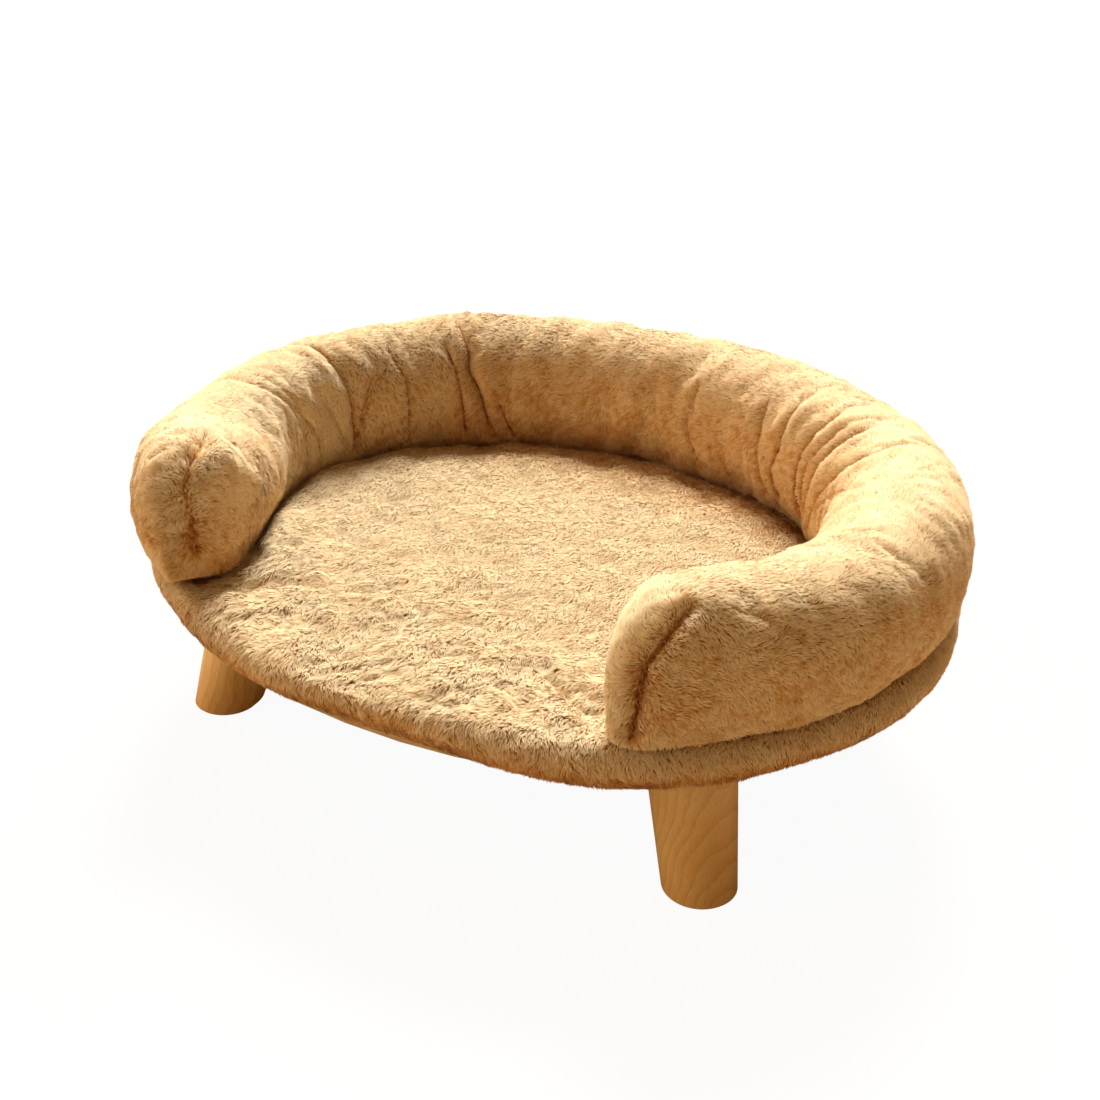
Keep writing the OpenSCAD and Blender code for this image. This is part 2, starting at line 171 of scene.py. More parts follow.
def run_along(t):
    c, s = cos_sin(t)
    return np.stack([-RUN_A * s, RUN_B * c], -1)


def run_out(t):
    v = unit(run_along(t))
    return np.stack([v[..., 1], -v[..., 0]], -1)


def run_speed(t):
    """Millimetres along the run for each degree."""
    return np.linalg.norm(run_along(t), axis=-1) * np.pi / 180


TIP_T = -math.degrees(math.asin((ARM_REACH - RUN_FORWARD) / RUN_B))
TIP_SPEED = float(run_speed(np.array(TIP_T)))
TAPER_T = TIP_T + ARM_TAPER / TIP_SPEED


def tip_distance(t):
    """Millimetres along the run from the nearer arm's tip."""
    return (np.minimum(t, 180 - t) - TIP_T) * TIP_SPEED


# Creases that the horseshoe's bend gathers in the plush: depth and half width in millimetres, then
# the line, as turn round the section against place on the run, in degrees
CREASES = [
    (12.4, 3.4, [(66, 136.5), (81, 135.5), (115, 134), (135, 133), (154, 133), (164, 131.5), (181, 129.7),
        (207, 128.3)]),
    (5.4, 3, [(116, 138.9), (133, 137.8), (152, 136.1), (165, 135.4), (186, 134.6), (208, 134)]),
    (3.2, 3, [(164, 131.6), (178, 130.2), (191, 128.5), (211, 126.4)]),
    (3.5, 3, [(174, 126.4), (185, 125.2), (202, 123.3), (212, 122.4)]),
    (4.8, 3.4, [(118, 152.9), (142, 150.8), (155, 149.4), (177, 149.1), (198, 149.1), (213, 149.1)]),
    (11, 4, [(88, 168.9), (100, 168.1), (122, 167.1), (143, 165.5), (162, 164.9), (180, 165.1),
        (202, 164.9), (212, 164.3)]),
    (4, 3.2, [(152, 158.8), (165, 160.9), (186, 163.4), (208, 164.4)]),
    (4.5, 3.2, [(150, 174.8), (165, 172.7), (182, 170.2), (199, 168.6), (212, 169)]),
    (5, 3.6, [(122, 186.9), (142, 184.7), (164, 182.1), (181, 178.2), (197, 177.8), (212, 178.6)]),
    (5, 5, [(72, 188.4), (107, 190.6), (129, 189.1), (145, 186.7), (164, 184.7), (181, 182.5), (200, 182.5),
        (212, 183.9)]),
    (3.8, 3, [(98, 58), (109, 57.8), (133, 56.7), (146, 56.5), (162, 56), (181, 57.9), (194, 57.4),
        (208, 54.6)]),
    (2.8, 3.4, [(122, 65), (136, 64.3), (155, 63.2), (176, 62.5), (191, 60.9), (209, 58)]),
    (2.4, 4, [(162, 82.6), (176, 81.7), (186, 80.2), (202, 77.9), (210, 76.6)]),
    (4.6, 3, [(98, 48), (110, 47.4), (125, 47.2), (141, 48.1), (160, 48.9), (176, 49.2), (186, 48.6),
        (200, 46.8), (208, 45.2)]),
    (2.8, 2.8, [(112, 42.2), (122, 42.6), (145, 43.7), (165, 45.6), (183, 46), (200, 45.4), (208, 44.6)]),
    (4.6, 3, [(88, 39.2), (98, 39.1), (112, 39.1), (126, 39.5), (148, 40.7), (167, 42.1), (183, 43.7),
        (198, 44)]),
    (3.8, 3.2, [(82, 31.6), (92, 30.4), (107, 28.7), (132, 30.2), (155, 32.6), (172, 35.5), (186, 37.4),
        (206, 41)]),
    (2.6, 3.4, [(115, 12), (134, 17.7), (157, 26.3), (173, 31.9), (186, 36)]),
    (1.6, 5, [(-14, -7), (-2, -6.2), (19, -5.3), (36, -5), (50, -3), (67, -1.1), (83, 0.3)]),
    (5, 7, [(62, -37), (59, -36.2), (53, -34.2), (44, -31.8), (38, -30), (35, -28.6)]),
]
# The sewn seams of the arms' ends, as turn round the section against millimetres from the tip
RIGHT_SEAM = [(68, 50), (66, 48), (59, 41), (49, 34), (35, 25), (26, 19), (7, 16), (-9, 14), (-29, 12),
    (-41, 12)]
LEFT_SEAM = [(108, 56), (107, 48), (106, 33), (102, 21), (100, 13), (101, 6), (121, 2), (181, 1), (210, 1)]
SEAM_DEPTH = 7.0
SEAM_HALF = 2.6
# Places on the run where the rows of the mesh lie closer, for the creases there
CLOSE_ROWS = (-6, 14, 31, 39, 43, 48, 57, 63, 81, 124, 129, 134, 137, 150, 160, 165.5, 171, 181, 187)
# How much closer, and over how many degrees
CLOSER = 1.3
CLOSE_REACH = 2.2

# How a crease shows, as shares of its depth and half width: a sharp groove in a broad dip, with low lips
DEPTH_SHARE = 0.67
HALF_SHARE = 0.9
GROOVE_SHARE, GROOVE_WIDE_SHARE = 0.72, 0.75
DIP_SHARE, DIP_WIDE_SHARE = 0.28, 3.0
LIP_SHARE, LIP_AWAY_SHARE, LIP_WIDE_SHARE = 0.22, 3.6, 1.9
# Plush lies in a crease within this share of its half width, or of so many millimetres
NEAR_SHARE = 0.85
NEAR_MOST = 3
# How a line fades in from its start and out to its end, as shares of its length and strength
FADE_IN_SHARE, START_SHARE = 0.3, 0.15
FADE_OUT_SHARE, END_SHARE = 0.1, 0.2
# How far from a line its strength is worked out, and how far the pile is combed off a seam
LINE_REACH = 45.0
COMB_REACH = 17
STEPS_PER_PLACE = 24


def section(turn, inset=0.0):
    """Places across the bolster's section and up from its middle, at turns round it."""
    c, s = cos_sin(turn)
    across = (BOLSTER_W / 2 - inset) * curve(c, BOLSTER_ROUND)
    return across, (BOLSTER_H / 2 - inset) * curve(s, BOLSTER_ROUND)


def section_turns(count):
    """Turns round the section that space its curved part evenly."""
    low = math.degrees(math.asin((SEATED_DROP / (BOLSTER_H / 2)) ** (BOLSTER_ROUND / 2)))
    fine = np.linspace(-low, 180 + low, 2000)
    steps = np.diff(np.stack(section(fine), -1), axis=0)
    length = np.r_[0, np.cumsum(np.linalg.norm(steps, axis=1))]
    return np.interp(np.linspace(0, length[-1], count), length, fine)


def end_share(from_tip, length, fullness):
    """Size of an arm's end at a distance from its tip, as a share of the full one."""
    left = clamp01(1 - from_tip / length)
    return (1 - left**fullness) ** (1 / fullness)


def on_run(t, from_tip, across, high, inset=0.0):
    """A place given across the bolster's full section and up from its middle, at place t on the run.
    Towards an arm's tip the section narrows to its outer side, and its top comes down."""
    wide = end_share(from_tip - inset, ARM_TAPER - inset, TAPER_ROUND)
    tall = end_share(from_tip - inset, ARM_DOME - inset, DOME_ROUND)
    across = across * wide + TIP_OUT_SHARE * (1 - wide) * (BOLSTER_W / 2 - inset)
    high = high * np.where(high > 0, tall, tall**FOOT_POWER)
    high = np.maximum(high, -SEATED_DROP)
    flat = run_place(t) + run_out(t) * (across + LEAN_SHARE * high)[..., None]
    return np.concatenate([flat, (BOLSTER_MID_Z + high)[..., None]], -1)


def line_on(line, inset, left=None):
    """Close points on the bolster's skin, along a line of the tables above. A seam's line is measured from
    the tip of the left or the right arm."""
    turn, place = np.array(line, float).T
    step = np.linspace(0, len(line) - 1, STEPS_PER_PLACE * len(line))
    turn, place = (np.interp(step, np.arange(len(line)), values) for values in (turn, place))
    if left is None:
        t = place
    else:
        t = TIP_T + (place + inset) / TIP_SPEED
        t = 180 - t if left else t
    return on_run(t, tip_distance(t), *section(turn, inset), inset)


def off_line(points, line):
    """How far points are from a line, how strong the line is at its nearest place, and the way from there."""
    far, nearest = np.full(points.shape[:-1], 1e6), np.zeros(points.shape[:-1], int)
    close = ((points > line.min(0) - LINE_REACH) & (points < line.max(0) + LINE_REACH)).all(-1)
    some = points[close]
    best, where = np.full(len(some), 1e12), np.zeros(len(some), int)
    for i, place in enumerate(line):
        d = ((some - place) ** 2).sum(-1)
        nearer = d < best
        best[nearer], where[nearer] = d[nearer], i
    far[close], nearest[close] = np.sqrt(best), where
    share = nearest / (len(line) - 1)
    strength = ease(START_SHARE + share / FADE_IN_SHARE) * ease(END_SHARE + (1 - share) / FADE_OUT_SHARE)
    return far, strength, points - line[nearest]


def creases(points, inset):
    """Depth of the creases and seams at points on the bolster, how near each is to a line, and the way off
    the seams."""
    depth, lips, near = (np.zeros(points.shape[:-1]) for _ in range(3))
    off_seam = np.zeros_like(points)
    lines = [(DEPTH_SHARE * deep, HALF_SHARE * half, line_on(line, inset)) for deep, half, line in CREASES]
    for line, left in ((RIGHT_SEAM, False), (LEFT_SEAM, True)):
        lines.append((SEAM_DEPTH, SEAM_HALF, line_on(line, inset, left)))
    for n, (deep, half, line) in enumerate(lines):
        far, strength, way = off_line(points, line)
        groove = GROOVE_SHARE * np.exp(-far / (GROOVE_WIDE_SHARE * half))
        dip = DIP_SHARE * np.exp(-((far / (DIP_WIDE_SHARE * half)) ** 2))
        depth = np.maximum(depth, deep * strength * (groove + dip))
        lip = np.exp(-(((far - LIP_AWAY_SHARE * half) / (LIP_WIDE_SHARE * half)) ** 2))
        lips = np.maximum(lips, LIP_SHARE * deep * strength * lip)
        close = np.exp(-((far / (NEAR_SHARE * min(half, NEAR_MOST))) ** 2))
        near = np.maximum(near, strength * close * min(1, deep / half))
        if n >= len(CREASES):
            off_seam += unit(way) * (strength * np.exp(-far / COMB_REACH))[..., None]
    return depth - lips * (1 - near), near, off_seam


# How much fuller, in millimetres, the stuffing is at a place on the run: it isn't quite even
STUFFING = [
    (-50, 0), (-25, -0.5), (-12, -2.5), (0, -2), (9, -1), (15, -1), (21, 0.8), (27, 0.4), (33, 1.4),
    (39, 2), (45, 2.8), (51, 3.3), (57, 2.3), (63, 0), (69, -0.4), (75, 3), (81, 4.4), (87, 2.4), (93, -1),
    (99, -1.8), (105, -3.2), (111, -1), (117, 1), (123, 1.8), (129, 1), (135, 2), (141, 1.5), (147, -1.5),
    (153, -5.2), (159, -5.6), (165, -4.2), (171, -1.6), (177, -4.8), (183, -7.2), (189, -8.8), (195, -9.6),
    (201, -7.6), (207, -4), (213, -0.4), (219, 1), (225, -1), (231, -0.7),
]
# The turn before which it is uneven, and how softly
STUFFED = (140, 70)
bolster_lumps, bolster_dents, bolster_crush = Waves(11, 130), Waves(12, 48), Waves(13, 17, 40)
LUMP_H, DENT_H, CRUSH_H = 1.6, 0.7, 0.35
# Millimetres round the section for each degree of turn, roughly
TURN_SPEED = 1.1
FOOT_TURN = 270.0
FOOT_INSET_SHARE = 0.15
# The rounded ends' rows lie at even angles between these
END_ANGLES = (4, 87)


def bolster_form(inset, cuts=480, around=104, foot=8, ends=60):
    """The bolster's skin, inset from the CAD solid's: points, and each one's place on it."""
    turns = section_turns(around)
    ring = np.stack(section(turns, inset), -1)
    flat = ring[-1] + (ring[0] - ring[-1]) * (np.arange(1, foot) / foot)[:, None]
    ring, turn = np.concatenate([ring, flat]), np.r_[turns, np.full(foot - 1, FOOT_TURN)]
    # The foot stays down near the seat, however far in the layer lies
    down = np.where(ring[:, 1] < 0, (FOOT_INSET_SHARE * inset - SEATED_DROP) / ring[:, 1].min(), 1.0)
    ring = ring * np.stack([np.ones_like(down), down], -1)
    angles = np.linspace(*END_ANGLES, ends)
    end = inset + (ARM_TAPER - inset) * (1 - curve(cos_sin(angles)[0], TAPER_ROUND))
    fine = np.linspace(TAPER_T, 180 - TAPER_T, 4000)
    close = sum(np.exp(-(((fine - place) / CLOSE_REACH) ** 2)) for place in CLOSE_ROWS)
    dense = np.cumsum(1 + CLOSER * np.minimum(1, close))
    body = np.interp(np.linspace(dense[0], dense[-1], cuts), dense, fine)
    t = np.concatenate([TIP_T + end / TIP_SPEED, body, 180 - (TIP_T + end[::-1] / TIP_SPEED)])[:, None]
    t, from_tip, turn = np.broadcast_arrays(t, tip_distance(t), turn[None])
    wide = end_share(from_tip - inset, ARM_TAPER - inset, TAPER_ROUND)
    smooth = on_run(t, from_tip, ring[None, :, 0] + 0 * t, ring[None, :, 1] + 0 * t, inset)
    depth, near, off_seam = creases(smooth, inset)
    rough = np.concatenate([run_place(t), (turn * TURN_SPEED)[..., None]], -1)
    swell = LUMP_H * bolster_lumps(rough) + DENT_H * bolster_dents(rough) + CRUSH_H * bolster_crush(smooth)
    swell += even_out(STUFFING, t) * before(turn, *STUFFED)
    dent = (depth - swell) * (turn < FOOT_TURN) * np.minimum(1, 0.2 + wide)
    points = smooth + grid_normals(smooth) * dent[..., None]
    points[..., 2] = np.maximum(points[..., 2], REST_Z + GAP + FOOT_INSET_SHARE * inset)
    return points, dict(t=t, turn=turn, from_tip=from_tip, near=near, off_seam=off_seam)


# The seat's form. The pad's edge isn't quite even: by angle round the seat, how far it lies inside its
# oval, and how far its round underside is pulled up, in millimetres
RIM_WAVE = [
    (0, 5.8, 0), (15, 5.8, 0), (21, 3.3, 0), (27, 0, 0), (60, 1, 0), (90, 0, 0), (150, 0, 0), (180, -1, 0),
    (215, -0.5, 0), (225, 0, 0), (231, 3, 0), (237, 3, 0), (243, 4, 1), (252, 4.4, 1.5), (261, 3.6, 1.5),
    (267, 5.5, 5), (273, 5.5, 5.5), (279, 5.8, 8.5), (285, 4.5, 4.5), (291, 2, 1), (297, -1, -1),
    (303, -1.5, -2.5), (309, -1.2, -2.8), (315, 0, -2.8), (321, 1.5, -2.5), (327, 4.4, 0), (333, 5, 0),
    (339, 4.8, 0), (345, 4.6, 0), (351, 5.8, 0), (360, 5.8, 0),
]
# The arms press the rim down from this angle off the front on, and less over the few degrees before it
ARM_FULL = 90 + TIP_T - 3.75
ARM_FADE = 9
MOST_GIVE = 36
GIVE_REACH = 45
NEAREST_TIP = 6
seat_lumps, seat_dents, seat_crush = Waves(21, 120), Waves(22, 42), Waves(23, 15, 40)
SEAT_LUMP_H, SEAT_DENT_H, SEAT_CRUSH_H, FRONT_CRUSH_H = 1.5, 1.0, 0.3, 0.5
# Where the seat's front begins, whose plush is most crushed, and how softly, in millimetres
FRONT = (-60, 160)
# The turns past and before which the rim's edge is pulled up, and past which the cover is loose
PULL_PAST, PULL_BEFORE, LOOSE_PAST = (-90, 45), (75, 75), (-80, 60)
# Rows of the seat's skin. A row's turn tells its kind, and is the roll's own angle round the rim
SEAT_SIDES = 420
HEM_TURN, FLAT_TURN, LEDGE_TURN, TROUGH_TURN, CROWN_TURN = -110, -100, 100, 110, 120
FLAT_ROWS, ROLL_ROWS = np.linspace(1, 0.12, 8), np.linspace(-86, 90, 30)
LEDGE_ROWS, TROUGH_ROWS = np.linspace(0.15, 0.85, 6), np.linspace(0, 1, 8)
CROWN_ROWS = np.linspace(0, 1, 60)[1:-1]
# How far inside the CAD cover the skin lies under the board
UNDER = 0.2
SEAT_MIDDLE = np.array([0, -RUN_FORWARD - MIDDLE_Y])


def rim_wave(t, column):
    return even_out([(row[0], row[column]) for row in RIM_WAVE], t % 360)


def rim_place(inset, t):
    c, s = cos_sin(t)
    inset = inset + rim_wave(t, 1)
    x = (SEAT_W / 2 - inset) * curve(c, SEAT_ROUND)
    y = (SEAT_D / 2 - inset) * curve(s, SEAT_ROUND) - MIDDLE_Y
    return np.stack([x, y], -1)


def arm_give(t):
    """How far an arm's foot draws back from its run's inner side, by the angle round the seat."""
    t = (t + 180) % 360 - 180
    from_tip = (np.where(np.abs(t) > 90, np.sign(t) * 180 - t, t) - TIP_T) * TIP_SPEED
    wide = end_share(np.maximum(from_tip, NEAREST_TIP), ARM_TAPER, TAPER_ROUND)
    give = (1 - wide) * (FOOT_HALF + TIP_OUT_SHARE * BOLSTER_W / 2)
    return np.minimum(MOST_GIVE, give) * ease(1 + from_tip / GIVE_REACH)


def nest_place(inward, t):
    c, s = cos_sin(t)
    inward = inward - arm_give(t)
    return np.stack([(RUN_A - inward) * c, (RUN_B - inward) * s - RUN_FORWARD - MIDDLE_Y], -1)


def pressed(t):
    """1 where the bolster presses the seat down, and 0 at the open front."""
    front = np.abs((t - 270 + 540) % 360 - 180)
    return ease(1 + (front - ARM_FULL) / ARM_FADE)


def crown_z(p):
    a, b = SEAT_W / 2 - RIM_ROLL, SEAT_D / 2 - RIM_ROLL
    dome = 1 - (p[..., 0] / a) ** 2 - ((p[..., 1] + MIDDLE_Y) / b) ** 2
    return RIM_TOP_Z + SEAT_CROWN * np.maximum(0, dome)


def front_share(points):
    return before(points[..., 1], *FRONT)


def seat_form(inset):
    """The seat's skin from the hem under the board, round the rim and over the top to its middle: points,
    and each one's turn."""
    t = np.arange(SEAT_SIDES) * 360 / SEAT_SIDES
    press = pressed(t)
    rows, turns = [], []

    def row(p, z, turn, pressed_z=None):
        z = z if pressed_z is None else z + (pressed_z - z) * press
        rows.append(np.concatenate([p, np.broadcast_to(z, t.shape)[:, None]], -1))
        turns.append(np.full(SEAT_SIDES, float(turn)))

    row(rim_place(FLAT_INSET + HEM_W, t), SEAT_Z + HEM_T - UNDER, HEM_TURN)
    for share in FLAT_ROWS:
        row(rim_place(FLAT_INSET + HEM_W * share, t), SEAT_Z + UNDER, FLAT_TURN)
    for turn in ROLL_ROWS:
        c, s = math.cos(math.radians(turn)), math.sin(math.radians(turn))
        roll = RIM_ROLL if turn > 0 else FLAT_INSET
        tall = RIM_TOP_Z - RIM_MID_Z if turn > 0 else RIM_BELLY
        pull_up = rim_wave(t, 2) * past(turn, *PULL_PAST) * before(turn, *PULL_BEFORE)
        high = RIM_MID_Z + (tall - inset) * s + pull_up
        row(rim_place(roll * (1 - c) + inset * c, t), high, turn, np.minimum(high, REST_Z - inset))
    rim, shoulder = rim_place(RIM_ROLL, t), nest_place(NEST_INSET, t)
    for share in LEDGE_ROWS:
        p = rim + (shoulder - rim) * share
        row(p, crown_z(p) - inset, LEDGE_TURN, REST_Z - inset)
    for share in TROUGH_ROWS:
        p = nest_place(NEST_INSET + share * SHOULDER_W, t)
        high = crown_z(p) - inset
        rise = (high - REST_Z + inset) * math.sin(math.radians(90 * share))
        row(p, high, TROUGH_TURN, REST_Z - inset + rise)
    edge = nest_place(NEST_INSET + SHOULDER_W, t)
    for share in CROWN_ROWS:
        p = edge + (SEAT_MIDDLE - edge) * share
        row(p, crown_z(p) - inset, CROWN_TURN)
    points, turns = np.stack(rows), np.stack(turns)
    # The cover is tight under the board and under the bolster, and looser on the open top
    loose = past(turns, *LOOSE_PAST) * np.where(points[..., 2] > REST_Z - inset + 0.5, 1, 0.5)
    open_top = np.where(turns > 60, 1.0, 0.6)
    crush = (SEAT_CRUSH_H + FRONT_CRUSH_H * front_share(points)) * seat_crush(points)
    swell = (SEAT_LUMP_H * seat_lumps(points) + SEAT_DENT_H * seat_dents(points) + crush) * loose * open_top
    return points + grid_normals(points) * swell[..., None], turns


# Meshes


def grid_faces(rows, sides):
    r, i = np.meshgrid(np.arange(rows - 1), np.arange(sides), indexing="ij")
    a, b = r * sides + i, r * sides + (i + 1) % sides
    return np.stack([a, b, b + sides, a + sides], -1).reshape(-1, 4)


def make_mesh(name, points, faces):
    """A mesh object from points in millimetres and lists of faces."""
    mesh = bpy.data.meshes.new(name)
    verts = [tuple(p) for p in np.asarray(points, float) * MM]
    mesh.from_pydata(verts, [], [list(map(int, face)) for face in faces])
    mesh.polygons.foreach_set("use_smooth", np.ones(len(mesh.polygons), bool))
    mesh.update()
    return add_object(name, mesh)


def add_object(name, data):
    made = bpy.data.objects.new(name, data)
    bpy.context.scene.collection.objects.link(made)
    return made


class Skin:
    """A grid of points closed at both ends with a pole, with values per point, that tufts grow from."""

    def __init__(self, points, start, end, flip=False):
        rows, sides = points.shape[:2]
        self.grid = points
        self.points = np.concatenate([points.reshape(-1, 3), [start, end]])
        quads = grid_faces(rows, sides)
        ring = np.arange(sides)
        last = (rows - 1) * sides
        caps = [np.stack([np.full(sides, rows * sides), (ring + 1) % sides, ring], -1),
                np.stack([np.full(sides, rows * sides + 1), last + ring, last + (ring + 1) % sides], -1)]
        if flip:
            quads, caps = quads[:, ::-1], [cap[:, ::-1] for cap in caps]
        self.faces = [list(face) for face in quads] + [list(face) for cap in caps for face in cap]
        self.triangles = np.concatenate([quads[:, [0, 1, 2]], quads[:, [0, 2, 3]], *caps])
        corner = self.points[self.triangles]
        cross = np.cross(corner[:, 1] - corner[:, 0], corner[:, 2] - corner[:, 0])
        self.area = np.linalg.norm(cross, axis=1) / 2
        normal = np.zeros_like(self.points)
        for i in range(3):
            np.add.at(normal, self.triangles[:, i], cross)
        self.normals = unit(normal)

    def spread(self, values):
        """A value per grid point as one per mesh point, poles included."""
        flat = values.reshape(-1, *values.shape[2:])
        return np.concatenate([flat, [values[0].mean(0)], [values[-1].mean(0)]])

    def sample(self, rng, spacing, density):
        """Random places on the skin, about spacing apart where density is 1: triangles and weights."""
        weight = self.area * density[self.triangles].mean(1)
        count = int(weight.sum() / spacing**2)
        cumulative = np.cumsum(weight)
        # Stratified picks keep the cover even
        picks = (np.arange(count) + rng.random(count)) / count * cumulative[-1]
        faces = np.minimum(np.searchsorted(cumulative, picks), len(cumulative) - 1)
        u, v = rng.random(count), rng.random(count)
        over = u + v > 1
        u[over], v[over] = 1 - u[over], 1 - v[over]
        return self.triangles[faces], np.stack([1 - u - v, u, v], -1)


def at(values, picks):
    """Values per mesh point, at sampled places."""
    corners, weights = picks
    return np.einsum("nc...,nc->n...", values[corners], weights)


# Whole numbers that scatter a cell's place
CELL_PRIMES = (73856093, 19349663, 83492791, 2654435761)
SCATTER, SCATTER_STEP = 6364136223846793005, 1442695040888963407


def cell_noise(cells, seed):
    """Repeatable random numbers from 0 to 1, five for each whole-number cell."""
    x, y, z = (cells[..., i].astype(np.int64) * CELL_PRIMES[i] for i in range(3))
    h = x ^ y ^ z ^ (seed * CELL_PRIMES[3])
    out = []
    for i in range(5):
        h = (h * SCATTER + SCATTER_STEP + i) & 0x7FFFFFFFFFFFFFFF
        out.append(((h >> 24) & 0xFFFFF) / 0xFFFFF)
    return np.stack(out, -1)


def clumps(p, size, seed):
    """The middle of each point's clump, and two random numbers for it."""
    base = np.floor(p / size)
    best = np.full(len(p), np.inf)
    middle, tag = np.zeros_like(p), np.zeros((len(p), 2))
    for step in np.ndindex(3, 3, 3):
        cell = base + np.array(step) - 1
        r = cell_noise(cell, seed)
        c = (cell + r[:, :3]) * size
        d = ((p - c) ** 2).sum(1)
        near = d < best
        best[near], middle[near], tag[near] = d[near], c[near], r[near, 3:]
    return middle, tag


# How tufts differ from their neighbours. Rows of waves: strength, seed step, wavelength and count
SWIRL_WAVES = ((0.5, 1, 70, 14), (0.5, 2, 13, 40))
BLOTCH_WAVES = ((0.035, 3, 30, 30), (0.04, 4, 9, 50))
CLUMP_SWIRL, TUFT_SWIRL = 0.5, 0.3
CLUMP_LIFT, TUFT_LIFT = 5, 3
CLUMP_BLOTCH, CURL_BLOTCH, TUFT_BLOTCH = 0.13, 0.33, 0.045
LENGTH_SPREAD, WIDTH_SPREAD = (0.75, 1.2), (0.7, 1.3)
SIDE_SPREAD = 0.25
# A tuft's bend, in radians, and its two steps out and in to its clump's middle, as shares
BELLY_RISE, BELLY_SHARE, BELLY_PULL = 0.4, 0.5, 0.4
TIP_RISE, TIP_SHARE, TIP_PULL = -0.15, 0.55, 0.6
# How deep a tuft's root is sunk in the hide, and how its shading follows the skin and its own leaf
ROOT_SUNK = 0.8
SKIN_FACING, LEAF_FACING, SIDE_FACING = 0.75, 0.25, 0.3
# A tuft's four points as corners of its two triangles, and their places on its colour map
TUFT_CORNERS = np.array([0, 2, 1, 1, 2, 3])
MAP_X = np.array([0, -0.015, 0.015, 0])
MAP_Y = np.array([0.03, 0.5, 0.5, 0.97])
MOST_SHADE = 0.46


def sum_waves(table, seed, p):
    return sum(strength * Waves(seed + step, length, count)(p) for strength, step, length, count in table)


def make_pile(name, skin, flow, looks, seed, clump_size, parts, spacing=0.8):
    """Tufts that stand up from a skin, bend over along its flow and lean together in clumps. Each is a
    narrow leaf: root, two sides of its belly, tip. looks holds values per point of the skin: density,
    length, lift in degrees, width, pull to the clump's middle, swirl, curl and tone."""
    rng = np.random.default_rng(seed)
    picks = skin.sample(rng, spacing, looks["density"])
    root, normal, along = at(skin.points, picks), unit(at(skin.normals, picks)), at(flow, picks)
    length, lift, width, pull, swirl, curl, tone = (
        at(looks[k], picks) for k in ("length", "lift", "width", "pull", "swirl", "curl", "tone"))
    count = len(root)
    along = unit(along - (along * normal).sum(1, keepdims=True) * normal)
    across = np.cross(normal, along)
    middle, tag = clumps(root, clump_size, seed)
    turn = np.radians(swirl * (sum_waves(SWIRL_WAVES, seed, root) + (tag[:, 0] - 0.5) * CLUMP_SWIRL
                               + rng.normal(0, TUFT_SWIRL, count)))
    lay = along * np.cos(turn)[:, None] + across * np.sin(turn)[:, None]
    reach = length * rng.uniform(*LENGTH_SPREAD, count)
    rise = np.radians(lift + (tag[:, 1] - 0.5) * CLUMP_LIFT + rng.normal(0, TUFT_LIFT, count))
    toward = middle - root
    toward -= (toward * normal).sum(1, keepdims=True) * normal

    def step_out(start, share, angle, pulled):
        way = lay * np.cos(angle)[:, None] + normal * np.sin(angle)[:, None]
        return start + way * (reach * share)[:, None] + toward * (pull * pulled)[:, None]

    belly = step_out(root, BELLY_SHARE, rise + BELLY_RISE, BELLY_PULL)
    tip = step_out(belly, TIP_SHARE, rise + TIP_RISE, TIP_PULL)
    leaf = unit(np.cross(tip - belly, np.cross(normal, tip - belly)))
    side = unit(np.cross(tip - root, normal + rng.normal(0, SIDE_SPREAD, (count, 3))))
    half = side * (width * rng.uniform(*WIDTH_SPREAD, count) / 2)[:, None]
    verts = np.stack([root - normal * ROOT_SUNK, belly - half, belly + half, tip], 1)
    facing = unit(normal * SKIN_FACING + leaf * LEAF_FACING)
    facings = [facing, unit(facing - side * SIDE_FACING), unit(facing + side * SIDE_FACING), facing]
    facings = np.stack(facings, 1)
    blotch = sum_waves(BLOTCH_WAVES, seed, root) + (tag[:, 0] - 0.5) * (CLUMP_BLOTCH + CURL_BLOTCH * curl)
    blotch += rng.normal(0, TUFT_BLOTCH, count)
    shade = 0.5 + MOST_SHADE * np.clip(2 * (tone + blotch) - 1, -1, 1)
    map_x = shade[:, None] + MAP_X
    places = np.stack([map_x, np.broadcast_to(MAP_Y, map_x.shape)], -1)
    bins = np.array_split(np.argsort(root[:, 0]), parts)
    return [tuft_mesh(f"{name}_{n + 1}", verts[chosen], facings[chosen], places[chosen])
            for n, chosen in enumerate(bins)]


def tuft_mesh(name, verts, facings, places):
    """One mesh of tufts: four points, six corners and two triangles each."""
    m = len(verts)
    mesh = bpy.data.meshes.new(name)
    mesh.vertices.add(4 * m)
    mesh.vertices.foreach_set("co", (verts * MM).astype(np.float32).ravel())
    mesh.loops.add(6 * m)
    index = np.arange(m)[:, None] * 4 + TUFT_CORNERS
    mesh.loops.foreach_set("vertex_index", index.astype(np.int32).ravel())
    mesh.polygons.add(2 * m)
    mesh.polygons.foreach_set("loop_start", np.arange(0, 6 * m, 3, dtype=np.int32))
    mesh.polygons.foreach_set("use_smooth", np.ones(2 * m, bool))
    for layer in ("Pile", "OFBake"):
        data = mesh.uv_layers.new(name=layer).data
        data.foreach_set("uv", places[:, TUFT_CORNERS].astype(np.float32).ravel())
    mesh.update(calc_edges=True)
    mesh.validate()
    mesh.normals_split_custom_set_from_vertices(facings.reshape(-1, 3))
    return add_object(name, mesh)


# Materials


def linear(text):
    """sRGB hex text as linear red, green, blue and alpha."""
    rgb = [int(text[i : i + 2], 16) / 255 for i in (1, 3, 5)]
    return [c / 12.92 if c <= 0.04045 else ((c + 0.055) / 1.055) ** 2.4 for c in rgb] + [1]


# The period of a wave texture at scale 1
WAVE_PERIOD = math.pi / 10


def pattern(size, period=1.0):
    """A texture's scale for a pattern of this many millimetres, from its period at scale 1."""
    return period / (size * MM)


